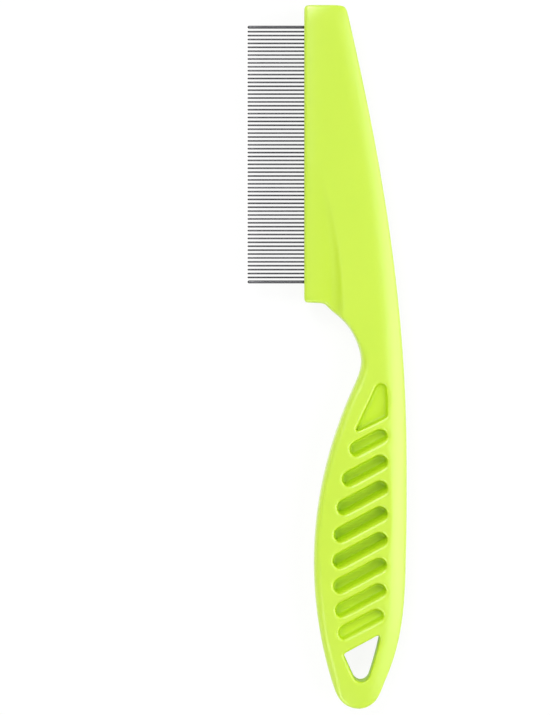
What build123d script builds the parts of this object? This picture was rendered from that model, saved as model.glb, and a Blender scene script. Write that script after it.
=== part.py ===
from build123d import *
import os
from math import cos, pi, radians, sin, sqrt, tan

os.makedirs("parts", exist_ok=True)

# Long-handled flea comb: a moulded plastic handle with one row of steel pins set in it.
# It lies flat: +Y runs toward the head, the pins point toward -X, +Z is the thickness.
# Lengths are millimetres.

# Driving dimensions of the whole comb
comb_length = 180.0
comb_width = 40.7
thickness = 10.0
half_length = comb_length / 2
mid_height = thickness / 2

# Pin row
needle_count = 64
needle_pitch = 1.0
needle_diameter = 0.45
needle_point_diameter = 0.2
needle_point_length = 0.5
guard_diameter = 0.8
guard_point_diameter = 0.4
guard_point_length = 0.6
guard_gap = 1.15
pin_sides = 6
row_centre_y = 51.9
bare_length = 14.5
root_depth = 5.5
tip_x = -20.15
tooth_edge_x = tip_x + bare_length

# Handle outline: back edge, tail, finger edge and the foot of the head
back_reach_x = tip_x + comb_width
head_end_x = 5.55
head_corner_radius = 0.8
head_shoulder_width = 2.0
head_foot_y = 13.9
back_points = [
    (head_end_x, half_length - 2.0),
    (9.4, 70.6),
    (15.1, 40.0),
    (18.35, 15.0),
    (20.1, -8.0),
    (back_reach_x, -31.0),
    (20.3, -53.0),
    (19.2, -68.5),
    (15.2, -82.6),
]
tail_points = [
    (13.75, -86.2),
    (11.8, -88.8),
    (8.4, -half_length),
    (5.05, -89.0),
    (3.05, -87.0),
    (1.72, -83.8),
]
finger_depth_x = -3.12
finger_depth_y = -52.8
finger_rate = 0.005
finger_stations = [-80.0, -70.0, -60.0, -50.0, -40.0, -30.0, -20.0, -9.0]
notch_points = [(9.05, -1.0), (7.4, 5.1), (3.95, 9.8), (0.5, 12.75)]
foot_end = (-3.6, head_foot_y)

# Thickness: a thin head that swells into the grip, flat on both faces at the middle of the grip
thin_half = 2.4
swell_rise = 2.85
swell_y = -42.0
head_reach = 105.0
tail_reach = 60.0

# Rounding of the faces toward the edges, as a share of the local thickness
back_crown_width = 7.0
back_crown_share = 0.42
tooth_crown_width = 4.5
tooth_crown_share = 0.25
tail_crown_width = 9.0
tail_crown_share = 0.22
head_crown_width = 4.0
head_crown_share = 0.12
crown_power = 2.5
crown_margin = 2.0
crown_tooth_margin = 1.5
crown_guide_head_x = 5.1
crown_guide_tail_x = 12.1
crown_rows = 44
crown_columns = 22

# Rounded rim along the finger edge, which fades out at the tail and at the notch
rim_width = 1.9
rim_depth = 1.3
rim_power = 2.2
rim_overhang = 0.7
rim_lift = 0.004
rim_fade_rate = 0.02
rim_tail_fade_y = -81.0
rim_notch_fade_y = -2.0
rim_rows = 48
rim_columns = 9

# Thin plate of the head, which ends at a coved ridge beside the spine
plate_foot_half = 2.15
plate_top_half = 2.52
plate_low_y = 4.0
plate_high_y = 56.5
plate_rows = 21
plate_margin = 1.0
plate_columns = 9
ridge_foot_x = 4.1
ridge_foot_y = 13.0
ridge_top_y = 49.0
ridge_shift = 6.2
cove_radius = 4.0
cove_turns = [10, 20, 30, 40, 50, 60, 70]
least_step = 0.02

# Finger grooves across the grip and the three-cornered dimple above them
groove_count = 8
groove_width = 4.0
groove_angle = 28.3
groove_first_y = -20.4
groove_step_y = -6.54
groove_back_inset = 7.0
groove_finger_inset = 6.75
groove_deepest = 3.4
groove_spread = 38.0
dimple_corners = [(15.05, -2.3), (15.5, -15.1), (7.2, -19.2)]
dimple_radii = [1.4, 0.5, 0.15]
dimple_centre_y = -14.0

# Hanging hole through the tail
hole_back_corner = (13.9, -70.5)
hole_finger_corner = (4.3, -75.8)
hole_tail_corner = (9.1, -86.2)
hole_bow = 0.4
hole_small_radius = 0.45
hole_tail_radius = 2.1


def finger_x(y):
    """Finger edge of the grip, a parabola that is deepest at the middle of the grip."""
    return finger_depth_x + finger_rate * (y - finger_depth_y) ** 2


def half_thickness(y):
    """Half of the thickness along the middle of the handle."""
    reach = head_reach if y > swell_y else tail_reach
    run = min(1.0, abs(y - swell_y) / reach)
    return thin_half + swell_rise * cos(pi / 2 * run) ** 2


def fade(distance, width):
    """Goes from 1 at an edge to 0 at the given distance from it, and past 1 outside it."""
    return max(0.0, 1.0 - distance / width) ** crown_power


def tail_crown(y):
    """Share of the thickness that is left near the tip of the tail."""
    return 1 - tail_crown_share * fade(y + half_length, tail_crown_width)


def tooth_crown(x):
    """Share of the thickness that is left near the edge that holds the pins."""
    return 1 - tooth_crown_share * fade(x - tooth_edge_x, tooth_crown_width)


def rows_to_face(rows):
    """A smooth face through rows of points given as heights above the middle plane."""
    lifted = [[(x, y, mid_height + height) for x, y, height in row] for row in rows]
    return Face.make_surface_from_array_of_points(lifted, tol=0.01)


# Outline of the handle, seen from above
mid_plane = Plane.XY.offset(mid_height)
with BuildSketch(mid_plane) as handle_outline:
    with BuildLine():
        back = Spline(*back_points)
        tail_slope = 2 * finger_rate * (finger_stations[0] - finger_depth_y)
        tail_end = (finger_x(finger_stations[0]), finger_stations[0])
        tail = Spline(back @ 1, *tail_points, tail_end, tangents=[back % 1, (tail_slope, 1)])
        finger = Spline(*[(finger_x(y), y) for y in finger_stations])
        notch = Spline(finger @ 1, *notch_points, foot_end, tangents=[finger % 1, (-1, 0)])
        foot = Line(foot_end, (tooth_edge_x + head_corner_radius, head_foot_y))
        foot_corner = TangentArc(
            foot @ 1, (tooth_edge_x, head_foot_y + head_corner_radius), tangent=(-1, 0)
        )
        tooth_edge = Line(foot_corner @ 1, (tooth_edge_x, half_length - head_corner_radius))
        head_corner = TangentArc(
            tooth_edge @ 1, (tooth_edge_x + head_corner_radius, half_length), tangent=(0, 1)
        )
        head_end = Line(head_corner @ 1, (head_end_x - head_shoulder_width, half_length))
        Spline(head_end @ 1, back @ 0, tangents=[(1, 0), back % 0])
    make_face()

# Guide for the crowned face: the back edge, carried on past both ends of the handle
with BuildLine():
    back_guide = Spline(
        (crown_guide_head_x, half_length + crown_margin),
        *back_points[1:],
        (crown_guide_tail_x, -half_length - crown_margin),
    )


def guide_x(y):
    """Place along X where the guide, which runs from head to tail, passes a given Y."""
    low, high = 0.0, 1.0
    for _ in range(24):
        middle = (low + high) / 2
        if (back_guide @ middle).Y > y:
            low = middle
        else:
            high = middle
    return (back_guide @ low).X


def crown_row(y):
    """One row of points across the crowned face, closer together toward its two edges."""
    back_x = guide_x(y)
    start = tooth_edge_x - crown_tooth_margin
    width = back_x + crown_margin - start
    end_crown = tail_crown(y) * (1 - head_crown_share * fade(half_length - y, head_crown_width))
    row = []
    for index in range(crown_columns + 1):
        x = start + width * (1 - cos(pi * index / crown_columns)) / 2
        back_crown = 1 - back_crown_share * fade(back_x - x, back_crown_width)
        row.append((x, y, half_thickness(y) * end_crown * back_crown * tooth_crown(x)))
    return row


# Crowned face of the handle, in rows from head to tail
crown_span = comb_length + 2 * crown_margin
crown_face = rows_to_face(
    [
        crown_row(half_length + crown_margin - crown_span * index / crown_rows)
        for index in range(crown_rows + 1)
    ]
)


def rim_row(spot, along):
    """One row of points over the rounded rim of the grip, square to the edge at a spot."""
    inward = Vector(along.Y, -along.X).normalized()
    row = []
    for index in range(rim_columns + 1):
        inset = -rim_overhang + (rim_width + rim_overhang + 1.0) * index / rim_columns
        place = spot + inward * inset
        height = half_thickness(place.Y) * tail_crown(place.Y)
        height -= rim_depth * max(0.0, 1 - inset / rim_width) ** rim_power
        height += rim_lift * (inset + rim_overhang) ** 2
        height += rim_fade_rate * max(0.0, place.Y - rim_notch_fade_y) ** 2
        height += rim_fade_rate * max(0.0, rim_tail_fade_y - place.Y) ** 2
        row.append((place.X, place.Y, height))
    return row


# Rounded rim, in rows that follow the edge from the tail along the grip to the notch
rim_spots = [tail @ share for share in (0.42, 0.55, 0.7, 0.85)]
rim_spots += [finger @ share for share in (0.0, 0.2, 0.4, 0.6, 0.8, 1.0)]
rim_spots += [notch @ share for share in (0.25, 0.45, 0.65)]
with BuildLine():
    rim_path = Spline(*[(spot.X, spot.Y) for spot in rim_spots])
rim_stations = [index / rim_rows for index in range(rim_rows + 1)]
rim_face = rows_to_face([rim_row(rim_path @ station, rim_path % station) for station in rim_stations])


def plate_row(y):
    """One row of points across the head plate and up its cove."""
    flat = plate_foot_half + (plate_top_half - plate_foot_half) * (y - head_foot_y) / (
        ridge_top_y - head_foot_y
    )
    ridge_run = max(0.0, (y - ridge_foot_y) / (ridge_top_y - ridge_foot_y))
    ridge_x = ridge_foot_x - ridge_shift * ridge_run**2
    step = max(least_step, half_thickness(y) - flat)
    cove_start = ridge_x - sqrt(cove_radius**2 - (cove_radius - step) ** 2)
    start = tooth_edge_x - plate_margin
    row = []
    for index in range(plate_columns + 1):
        x = start + (cove_start - start) * (1 - cos(pi * index / plate_columns)) / 2
        row.append((x, y, flat * tooth_crown(x)))
    for turn in cove_turns:
        x = cove_start + cove_radius * sin(radians(turn))
        row.append((x, y, flat + cove_radius * (1 - cos(radians(turn)))))
    return row


# Sunk face of the head plate, from below the foot of the head to where it fades out
plate_step = (plate_high_y - plate_low_y) / plate_rows
plate_face = rows_to_face([plate_row(plate_low_y + plate_step * index) for index in range(plate_rows)])


def groove_floor(y):
    """Height of a groove's floor above the bottom of the comb."""
    depth = groove_deepest * (1 - ((y - swell_y) / groove_spread) ** 2)
    return mid_height + min(mid_height, half_thickness(y)) - depth


def groove_finger_end(back_end):
    """Where a groove's slanting centre line comes as close to the finger edge as it may."""
    run = 1 / tan(radians(groove_angle))
    rest = finger_depth_x + groove_finger_inset - back_end.X + (back_end.Y - finger_depth_y) * run
    y = finger_depth_y + (run - sqrt(run**2 - 4 * finger_rate * rest)) / (2 * finger_rate)
    return Vector(back_end.X - (back_end.Y - y) * run, y)


# Handle, made as its upper half and mirrored
with BuildPart(mid_plane) as handle:
    extrude(handle_outline.sketch, amount=mid_height)
    for face in (crown_face, plate_face, rim_face):
        extrude(face, amount=thickness, dir=(0, 0, 1), mode=Mode.SUBTRACT, clean=False)

    # Finger grooves, shallower toward both ends of the grip
    for index in range(groove_count):
        back_y = groove_first_y + index * groove_step_y
        back_end = Vector(guide_x(back_y) - groove_back_inset, back_y)
        finger_end = groove_finger_end(back_end)
        centre = (back_end + finger_end) / 2
        with BuildSketch(Plane.XY.offset(groove_floor(centre.Y))):
            with Locations(centre):
                SlotCenterToCenter(
                    (back_end - finger_end).length, groove_width, rotation=groove_angle
                )
        extrude(amount=mid_height, mode=Mode.SUBTRACT, clean=False)

    # Three-cornered dimple at the neck end of the grip
    with BuildSketch(Plane.XY.offset(groove_floor(dimple_centre_y))) as dimple:
        Polygon(*dimple_corners, align=None)
        for corner, radius in zip(dimple_corners, dimple_radii):
            fillet(dimple.vertices().sort_by_distance(corner)[0], radius)
    extrude(amount=mid_height, mode=Mode.SUBTRACT, clean=False)

    # Hanging hole
    with BuildSketch(mid_plane) as hole:
        with BuildLine():
            Line(hole_back_corner, hole_finger_corner)
            Line(hole_finger_corner, hole_tail_corner)
            SagittaArc(hole_tail_corner, hole_back_corner, -hole_bow)
        make_face()
        fillet(hole.vertices().sort_by_distance(hole_tail_corner)[0], hole_tail_radius)
        for corner in (hole_back_corner, hole_finger_corner):
            fillet(hole.vertices().sort_by_distance(corner)[0], hole_small_radius)
    extrude(amount=mid_height, mode=Mode.SUBTRACT, clean=False)
    mirror(about=mid_plane)


def make_pin(diameter, point_diameter, point_length):
    """A straight pin along X: a slightly blunt point, then a shaft down to its buried root."""
    shaft_length = bare_length + root_depth - point_length
    with BuildPart() as pin:
        with BuildSketch(Plane.YZ.offset(tip_x)):
            RegularPolygon(point_diameter / 2, pin_sides)
        with BuildSketch(Plane.YZ.offset(tip_x + point_length)) as shaft_section:
            RegularPolygon(diameter / 2, pin_sides)
        loft()
        extrude(shaft_section.sketch, amount=shaft_length)
    return pin.part


needle = make_pin(needle_diameter, needle_point_diameter, needle_point_length)
guard = make_pin(guard_diameter, guard_point_diameter, guard_point_length)

row_length = (needle_count - 1) * needle_pitch
first_needle_y = row_centre_y - row_length / 2
guard_spots = {
    "guard_pin_grip_end": first_needle_y - guard_gap,
    "guard_pin_head_end": first_needle_y + row_length + guard_gap,
}

# Needles, two to a node, and the two guard pins
pin_parts = []
for pair_index in range(needle_count // 2):
    lower_y = first_needle_y + 2 * pair_index * needle_pitch
    with BuildPart() as pair:
        with Locations((0, lower_y, mid_height), (0, lower_y + needle_pitch, mid_height)):
            add(needle)
    pair.part.label = f"needle_pair_{pair_index + 1:02d}"
    pin_parts.append(pair.part)
for guard_name, guard_y in guard_spots.items():
    with BuildPart() as guard_pin:
        with Locations((0, guard_y, mid_height)):
            add(guard)
    guard_pin.part.label = guard_name
    pin_parts.append(guard_pin.part)

# Each pin sits in its own blind socket in the tooth edge
with BuildPart() as comb_handle:
    add(handle.part)
    add(pin_parts, mode=Mode.SUBTRACT)
comb_handle.part.label = "handle"

for piece in (comb_handle.part, *pin_parts):
    export_step(piece, f"parts/{piece.label}.step")
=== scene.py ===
import math

import bmesh
import bpy
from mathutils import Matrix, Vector


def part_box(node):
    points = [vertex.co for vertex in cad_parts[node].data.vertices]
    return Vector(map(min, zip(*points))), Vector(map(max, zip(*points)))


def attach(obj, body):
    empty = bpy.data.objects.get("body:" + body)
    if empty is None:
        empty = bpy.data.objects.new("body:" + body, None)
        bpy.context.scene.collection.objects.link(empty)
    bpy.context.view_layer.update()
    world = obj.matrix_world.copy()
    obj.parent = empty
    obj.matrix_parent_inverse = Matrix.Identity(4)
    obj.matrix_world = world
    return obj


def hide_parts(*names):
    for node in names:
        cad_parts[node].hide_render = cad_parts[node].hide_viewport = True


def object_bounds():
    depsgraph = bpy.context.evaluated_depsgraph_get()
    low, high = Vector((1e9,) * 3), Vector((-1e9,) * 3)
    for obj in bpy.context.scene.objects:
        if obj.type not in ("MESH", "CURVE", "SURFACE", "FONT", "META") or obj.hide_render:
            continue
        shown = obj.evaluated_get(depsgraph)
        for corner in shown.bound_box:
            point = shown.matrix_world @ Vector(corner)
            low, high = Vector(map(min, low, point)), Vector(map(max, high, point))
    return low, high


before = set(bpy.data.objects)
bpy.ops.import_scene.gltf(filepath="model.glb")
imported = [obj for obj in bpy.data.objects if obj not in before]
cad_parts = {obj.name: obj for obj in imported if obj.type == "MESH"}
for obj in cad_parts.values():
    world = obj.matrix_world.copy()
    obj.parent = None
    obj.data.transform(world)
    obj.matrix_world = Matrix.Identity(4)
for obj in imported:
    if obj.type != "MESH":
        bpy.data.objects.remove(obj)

mm = 0.001              # the frame is in metres
fullRange = (0.0, 1.0)
cadLow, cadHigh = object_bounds()
handleLow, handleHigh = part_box("handle")
midZ = (handleLow.z + handleHigh.z) / 2
toothEdgeX = handleLow.x
firstPair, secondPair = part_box("needle_pair_01"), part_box("needle_pair_02")
pinTipX = firstPair[0].x
pinPitch = (secondPair[0].y - firstPair[0].y) / 2     # two pins to a pair
print("stage 1: frame loaded,", len(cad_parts), "nodes")


def linkObject(name, data):
    obj = bpy.data.objects.new(name, data)
    bpy.context.scene.collection.objects.link(obj)
    return obj


def smoothFaces(mesh):
    for face in mesh.polygons:
        face.use_smooth = True


def newMaterial(name):
    mat = bpy.data.materials.new(name)
    mat.use_nodes = True
    mat.node_tree.nodes.clear()
    return mat, mat.node_tree


def addNode(tree, kind, inputs, **settings):
    # each input is either a value or the output of another node
    node = tree.nodes.new(kind)
    for name, value in settings.items():
        setattr(node, name, value)
    for name, value in inputs.items():
        if isinstance(value, bpy.types.NodeSocket):
            tree.links.new(value, node.inputs[name])
        else:
            node.inputs[name].default_value = value
    return node


def addRamp(tree, source, fromRange, toRange, curve="LINEAR"):
    inputs = {"Value": source, "From Min": fromRange[0], "From Max": fromRange[1]}
    inputs.update({"To Min": toRange[0], "To Max": toRange[1]})
    return addNode(tree, "ShaderNodeMapRange", inputs, interpolation_type=curve).outputs["Result"]


def addMath(tree, operation, *values):
    return addNode(tree, "ShaderNodeMath", dict(enumerate(values)), operation=operation).outputs[0]


def addColourMix(tree, share, first, second):
    # sockets 6 and 7 are the two colours of a mix node
    return addNode(tree, "ShaderNodeMix", {0: share, 6: first, 7: second}, data_type="RGBA").outputs[2]


def addNoise(tree, place, size, detail):
    inputs = {"Vector": place, "Scale": size, "Detail": detail}
    return addNode(tree, "ShaderNodeTexNoise", inputs).outputs["Fac"]


def addBump(tree, height, force, depth):
    inputs = {"Height": height, "Strength": force, "Distance": depth}
    return addNode(tree, "ShaderNodeBump", inputs).outputs["Normal"]


def addObjectPlace(tree):
    return addNode(tree, "ShaderNodeTexCoord", {}).outputs["Object"]


def finishMaterial(tree, shader):
    addNode(tree, "ShaderNodeOutputMaterial", {"Surface": shader.outputs[0]})


limePlastic = {
    "deepColour": (0.480, 0.695, 0.006, 1.0),
    "plainColour": (0.515, 0.715, 0.010, 1.0),
    "hollowShadeColour": (0.420, 0.635, 0.004, 1.0),     # painted shade: the base colour darkens in the hollows, by ambient occlusion
    "hollowReach": 10.0 * mm,       # how near a wall must be to shade a spot
    "hollowSamples": 8,
    "hollowShades": (0.60, 1.00),   # openness at which the painted hollow shade is full, and gone
    "glossShades": (0.95, 1.00),    # openness at which the gloss is gone, and full: painted shade on the reflection in the hollows
    "glossBend": 1.8,
    "glossRoughness": 0.36,
    "bend": 1.46,
    "specularLevel": 0.45,
    "roughness": (0.45, 0.57),
    "glowShare": 0.35,              # light that goes in and comes out again nearby
    "glowReach": 1.6 * mm,
    "glowColours": (1.0, 1.0, 0.3),
    "cloudSize": 55.0,
    "cloudDetail": 3.0,
    "grainSize": 2600.0,
    "grainDetail": 4.0,
    "grainForce": 0.35,
    "grainDepth": 0.04 * mm,
}


def makeLimePlastic(look):
    mat, tree = newMaterial("limePlastic")
    place = addObjectPlace(tree)
    cloud = addNoise(tree, place, look["cloudSize"], look["cloudDetail"])   # slow drift of the dye
    grain = addNoise(tree, place, look["grainSize"], look["grainDetail"])   # spark texture of the mould
    # ambient occlusion of the skin paints shade into the hollows: it darkens the base colour and takes
    # away the gloss
    openness = addNode(tree, "ShaderNodeAmbientOcclusion", {"Distance": look["hollowReach"]},
                       samples=look["hollowSamples"], only_local=True).outputs["AO"]
    openDye = addColourMix(tree, cloud, look["deepColour"], look["plainColour"])
    # share of the open dye over the painted hollow shade
    unshadedShare = addRamp(tree, openness, look["hollowShades"], fullRange)
    skin = addNode(tree, "ShaderNodeBsdfPrincipled", {
        "Base Color": addColourMix(tree, unshadedShare, look["hollowShadeColour"], openDye),
        "Roughness": addRamp(tree, cloud, fullRange, look["roughness"]),
        "Normal": addBump(tree, grain, look["grainForce"], look["grainDepth"]),
        # painted shade on the reflection: the coat fades out in the hollows
        "Coat Weight": addRamp(tree, openness, look["glossShades"], fullRange),
        "Coat IOR": look["glossBend"],
        "Coat Roughness": look["glossRoughness"],
        "IOR": look["bend"],
        "Specular IOR Level": look["specularLevel"],
        "Subsurface Weight": look["glowShare"],
        "Subsurface Scale": look["glowReach"],
        "Subsurface Radius": look["glowColours"],
    })
    finishMaterial(tree, skin)
    return mat


pinSteel = {
    "brightColour": (0.180, 0.180, 0.190, 1.0),
    "dullColour": (0.080, 0.080, 0.087, 1.0),
    "endShadeColour": (0.020, 0.022, 0.018, 1.0),
    "pointReach": 0.7 * mm,         # the rounded point, with a painted dark reflection
    "rootReach": 0.5 * mm,          # painted shade on the spot where the plastic starts
    "roughness": (0.22, 0.40),
    "markSize": 900.0,
    "markDetail": 2.0,
    "markStretch": (0.004, 1.0, 1.0),   # drawing marks run along the wire
    "markForce": 0.2,
    "markDepth": 0.01 * mm,
}


def makePinSteel(look):
    mat, tree = newMaterial("pinSteel")
    place = addObjectPlace(tree)
    axes = addNode(tree, "ShaderNodeSeparateXYZ", {0: place})
    along, across = axes.outputs["X"], axes.outputs["Y"]
    stretch = addNode(tree, "ShaderNodeMapping", {"Vector": place, "Scale": look["markStretch"]})
    marks = addNoise(tree, stretch.outputs["Vector"], look["markSize"], look["markDetail"])
    # each wire has a tone of its own
    wire = addMath(tree, "ROUND", addMath(tree, "DIVIDE", across, pinPitch))
    draw = addNode(tree, "ShaderNodeTexWhiteNoise", {"W": wire}, noise_dimensions="1D").outputs["Value"]
    tone = addColourMix(tree, draw, look["dullColour"], look["brightColour"])
    # the pin ends are painted dark: a dark reflection on the point and shade at the root
    pointSpan = (pinTipX, pinTipX + look["pointReach"])
    rootSpan = (toothEdgeX, toothEdgeX - look["rootReach"])
    fromPoint = addRamp(tree, along, pointSpan, fullRange, "SMOOTHSTEP")
    fromRoot = addRamp(tree, along, rootSpan, fullRange, "SMOOTHSTEP")
    notEndShaded = addMath(tree, "MINIMUM", fromPoint, fromRoot)
    steel = addNode(tree, "ShaderNodeBsdfPrincipled", {
        "Base Color": addColourMix(tree, notEndShaded, look["endShadeColour"], tone),
        "Metallic": 1.0,
        "Roughness": addRamp(tree, marks, fullRange, look["roughness"]),
        "Normal": addBump(tree, marks, look["markForce"], look["markDepth"]),
    })
    finishMaterial(tree, steel)
    return mat


limeMat = makeLimePlastic(limePlastic)
steelMat = makePinSteel(pinSteel)
print("stage 2: materials made")


combPin = {
    "sides": 24,
    "pointSteps": 7,
    "pointStretch": 1.25,       # length of the rounded point over its radius
    "spans": (0.3, 0.6, 0.97),  # rings along the bare length
    "sunkRing": 0.2 * mm,       # one more just inside the plastic
}


def addPin(bm, y, radius, rootX, shape):
    # one round pin along X, closed at both ends
    steps, sides = shape["pointSteps"], shape["sides"]
    pointLength = radius * shape["pointStretch"]
    bare = toothEdgeX - pinTipX
    stations = []
    for step in range(1, steps + 1):
        turn = step / steps * math.pi / 2
        stations.append((pinTipX + pointLength * (1 - math.cos(turn)), radius * math.sin(turn)))
    stations += [(pinTipX + bare * span, radius) for span in shape["spans"]]
    stations += [(toothEdgeX + shape["sunkRing"], radius), (rootX, radius)]
    turns = [2 * math.pi * side / sides for side in range(sides)]
    rings = []
    for x, reach in stations:
        ring = [(x, y + reach * math.cos(turn), midZ + reach * math.sin(turn)) for turn in turns]
        rings.append([bm.verts.new(spot) for spot in ring])
    point = bm.verts.new((pinTipX, y, midZ))
    for side in range(sides):
        after = (side + 1) % sides
        bm.faces.new((point, rings[0][after], rings[0][side]))
        for front, back in zip(rings, rings[1:]):
            bm.faces.new((front[side], front[after], back[after], back[side]))
    bm.faces.new(rings[-1])


def makePinPiece(node, shape):
    low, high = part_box(node)
    if node.startswith("guard"):
        radius = (high.y - low.y) / 2
        places = [low.y + radius]
    else:
        radius = (high.y - low.y - pinPitch) / 2
        places = [low.y + radius, high.y - radius]
    bm = bmesh.new()
    for y in places:
        addPin(bm, y, radius, high.x, shape)
    bmesh.ops.recalc_face_normals(bm, faces=bm.faces)
    mesh = bpy.data.meshes.new(node + "_steel")
    bm.to_mesh(mesh)
    bm.free()
    smoothFaces(mesh)
    mesh.materials.append(steelMat)
    piece = linkObject(node + "_steel", mesh)
    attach(piece, "root")
    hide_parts(node)
    return [(y, radius, high.x) for y in places]


pinRoots = []
for node in sorted(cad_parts):
    if node != "handle":
        pinRoots += makePinPiece(node, combPin)
print("stage 3:", len(pinRoots), "pins made")


# The tail-side wall of each groove leans back, so that the moulding leaves its mould.
leanWalls = {
    # in mm: the groove's finger end and back end, each with the face's height there, and its floor
    "grooves": [
        ((7.96, -23.37, 10.00), (13.48, -20.40, 9.99), 7.55),
        ((6.01, -31.00, 10.00), (13.54, -26.94, 10.00), 7.00),
        ((4.69, -38.25, 10.00), (13.54, -33.48, 10.00), 6.69),
        ((3.92, -45.17, 10.00), (13.49, -40.02, 10.00), 6.60),
        ((3.63, -51.82, 9.96), (13.41, -46.56, 10.00), 6.72),
        ((3.78, -58.23, 9.62), (13.30, -53.10, 9.97), 6.94),
        ((4.30, -64.39, 9.20), (13.12, -59.64, 9.62), 7.08),
        ((5.14, -70.18, 8.78), (12.56, -66.18, 9.18), 7.32),
    ],
    "halfWidth": 2.0,       # from a groove's centre line to its wall
    "lean": 1.5,            # how far the wall's foot stands out on the floor
    "belowFace": 0.10,      # where the lean starts
    "shoulderOut": 0.60,    # the rounded shoulder, as a share of the lean
    "shoulderDown": 0.28,   # and as a share of the wall's height
    "sink": 0.3,            # how far it is let into the plastic
    "endRun": 1.5,          # how far it runs on into the groove's round ends
}


def addLeanWall(bm, groove, shape, side):
    # a wedge along the foot of one wall, on the front (side 1) or the back (side -1)
    fingerEnd, backEnd, floor = groove
    along = (Vector(backEnd[:2]) - Vector(fingerEnd[:2])).normalized()
    across = Vector((along.y, -along.x))
    wall, sink = shape["halfWidth"], shape["sink"]
    foot = wall - shape["lean"]
    shoulder = wall - shape["lean"] * shape["shoulderOut"]
    rings = []
    for end, run in ((fingerEnd, -shape["endRun"]), (backEnd, shape["endRun"])):
        top = end[2] - shape["belowFace"]
        bent = top - (top - floor) * shape["shoulderDown"]
        section = [(wall + sink, floor - sink), (wall + sink, top), (wall, top),
                   (shoulder, bent), (foot, floor), (foot, floor - sink)]
        ring = []
        for out, height in section:
            place = (Vector(end[:2]) + along * run + across * out) * mm
            ring.append(bm.verts.new((place.x, place.y, midZ + side * (height * mm - midZ))))
        rings.append(ring)
    first, last = rings
    faces = [bm.faces.new(first), bm.faces.new(last)]
    for corner in range(len(first)):
        after = (corner + 1) % len(first)
        faces.append(bm.faces.new((first[corner], first[after], last[after], last[corner])))
    bmesh.ops.recalc_face_normals(bm, faces=faces)


handleSkin = {
    "grid": 0.30 * mm,
    "softSteps": 20,
    "softForce": 0.5,
    "plugWidth": 1.5,           # over the pin's radius, so that it fills the socket
    "plugSides": 12,
    "plugStart": 0.1 * mm,      # behind the tooth edge
    "plugPast": 0.2 * mm,       # beyond the pin's root
}


def addSocketPlug(bm, y, radius, rootX, shape):
    # closes a socket behind its pin, so that the skin is one closed body
    start, end = toothEdgeX + shape["plugStart"], rootX + shape["plugPast"]
    width = radius * shape["plugWidth"]
    made = bmesh.ops.create_cone(bm, cap_ends=True, segments=shape["plugSides"],
                                 radius1=width, radius2=width, depth=end - start)
    for vert in made["verts"]:
        vert.co = Vector(((start + end) / 2 + vert.co.z, y + vert.co.x, midZ + vert.co.y))


def makeHandleSkin(shape):
    # the moulding with its edges softened as a mould leaves them
    bm = bmesh.new()
    bm.from_mesh(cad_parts["handle"].data)
    for y, radius, rootX in pinRoots:
        addSocketPlug(bm, y, radius, rootX, shape)
    for groove in leanWalls["grooves"]:
        for side in (1, -1):
            addLeanWall(bm, groove, leanWalls, side)
    mesh = bpy.data.meshes.new("handle_rough")
    bm.to_mesh(mesh)
    bm.free()
    skin = linkObject("handle_skin", mesh)
    remesh = skin.modifiers.new("grid", "REMESH")
    remesh.mode = "VOXEL"
    remesh.voxel_size = shape["grid"]
    soften = skin.modifiers.new("soften", "SMOOTH")
    soften.factor = shape["softForce"]
    soften.iterations = shape["softSteps"]
    graph = bpy.context.evaluated_depsgraph_get()
    baked = bpy.data.meshes.new_from_object(skin.evaluated_get(graph))
    skin.modifiers.clear()
    skin.data = baked
    smoothFaces(baked)
    baked.materials.clear()
    baked.materials.append(limeMat)
    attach(skin, "root")
    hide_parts("handle")
    return skin


skin = makeHandleSkin(handleSkin)
print("stage 4: handle skin,", len(skin.data.polygons), "faces")


paperFloor = {
    "size": 4.0,            # metres
    "drop": 0.02 * mm,      # below the comb, so that the two don't share a plane
    "colour": (0.93, 0.93, 0.93, 1.0),
    "whiteShare": 0.90,     # the rest is left for the comb's shadow
}


def makePaperFloor(look):
    half = look["size"] / 2
    mesh = bpy.data.meshes.new("floor")
    corners = [(-half, -half, 0), (half, -half, 0), (half, half, 0), (-half, half, 0)]
    mesh.from_pydata(corners, [], [(0, 1, 2, 3)])
    floor = linkObject("floor", mesh)
    floor.location.z = cadLow.z - look["drop"]
    mat, tree = newMaterial("floorPaper")
    paper = addNode(tree, "ShaderNodeBsdfDiffuse", {"Color": look["colour"]})
    white = addNode(tree, "ShaderNodeEmission", {"Strength": 1.0})
    light = addNode(tree, "ShaderNodeLightPath", {}).outputs
    mirrored = addMath(tree, "MAXIMUM", light["Is Glossy Ray"], light["Is Transmission Ray"])
    seen = addMath(tree, "MAXIMUM", light["Is Camera Ray"], mirrored)
    share = addMath(tree, "MULTIPLY", seen, look["whiteShare"])
    both = addNode(tree, "ShaderNodeMixShader", {0: share, 1: paper.outputs[0], 2: white.outputs[0]})
    finishMaterial(tree, both)
    mesh.materials.append(mat)


lightTent = {
    "rimLevel": 1.50,       # the bright rim of the room
    "topLevel": 0.42,
    "rimHeight": 0.35,      # how far up the rim fades, as a share of straight up
}


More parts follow.
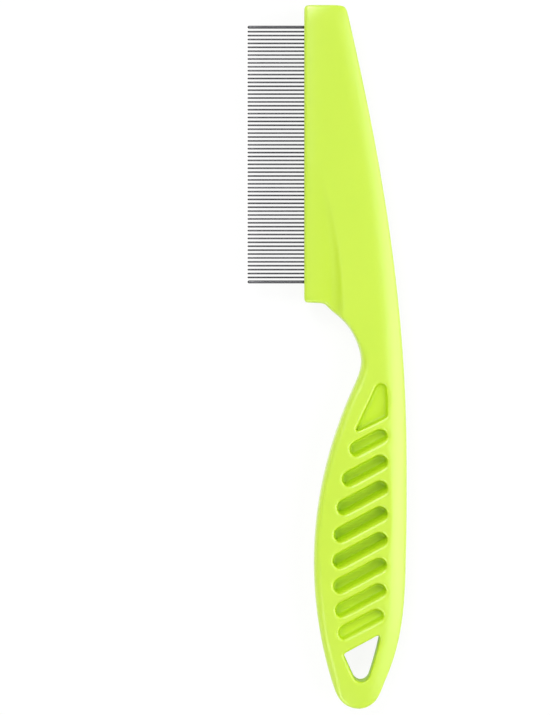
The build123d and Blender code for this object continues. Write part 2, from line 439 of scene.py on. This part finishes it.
def makeLightTent(look):
    world = bpy.data.worlds.new("lightTent")
    bpy.context.scene.world = world
    world.use_nodes = True
    tree = world.node_tree
    tree.nodes.clear()
    place = addNode(tree, "ShaderNodeTexCoord", {}).outputs["Generated"]
    height = addNode(tree, "ShaderNodeSeparateXYZ", {0: place}).outputs["Z"]
    level = addRamp(tree, height, (0.0, look["rimHeight"]), (look["rimLevel"], look["topLevel"]))
    tent = addNode(tree, "ShaderNodeBackground", {"Strength": level})
    white = addNode(tree, "ShaderNodeBackground", {"Color": (1.0, 1.0, 1.0, 1.0), "Strength": 1.0})
    light = addNode(tree, "ShaderNodeLightPath", {}).outputs
    seen = addMath(tree, "MAXIMUM", light["Is Camera Ray"], light["Is Transmission Ray"])
    both = addNode(tree, "ShaderNodeMixShader", {0: seen, 1: tent.outputs[0], 2: white.outputs[0]})
    addNode(tree, "ShaderNodeOutputWorld", {"Surface": both.outputs[0]})


# far from the comb, so that each one lights it evenly (metres and watts)
softBoxes = {
    "rightBox": {"place": (0.47, -0.02, 0.40), "size": (0.50, 0.70), "power": 2.9},
    "topBox": {"place": (-0.90, 1.60, 2.10), "size": (1.20, 1.20), "power": 40.0},
    "frontBox": {"place": (-0.60, -1.00, 1.15), "size": (0.80, 0.80), "power": 8.0},
}


def makeSoftBox(name, look):
    data = bpy.data.lights.new(name, "AREA")
    data.shape = "RECTANGLE"
    data.size, data.size_y = look["size"]
    data.energy = look["power"]
    box = linkObject(name, data)
    box.location = look["place"]
    aim = Vector((0, 0, midZ)) - box.location       # at the middle of the comb
    box.rotation_euler = aim.to_track_quat("-Z", "X").to_euler()


viewCamera = {
    "place": (-13.1 * mm, -0.13 * mm),
    "height": 509.2 * mm,       # above the middle of the handle's thickness
    "lens": 100.0,
    "sensor": 36.0,
    "nearClip": 0.01,
}


def makeCamera(look):
    data = bpy.data.cameras.new("camera")
    data.lens = look["lens"]
    data.sensor_width = look["sensor"]
    data.clip_start = look["nearClip"]
    camera = linkObject("camera", data)
    camera.location = (*look["place"], midZ + look["height"])
    bpy.context.scene.camera = camera


makePaperFloor(paperFloor)
makeLightTent(lightTent)
for name, look in softBoxes.items():
    makeSoftBox(name, look)
makeCamera(viewCamera)
bpy.context.scene.view_settings.view_transform = "Standard"
print("stage 5: floor, light and camera set")
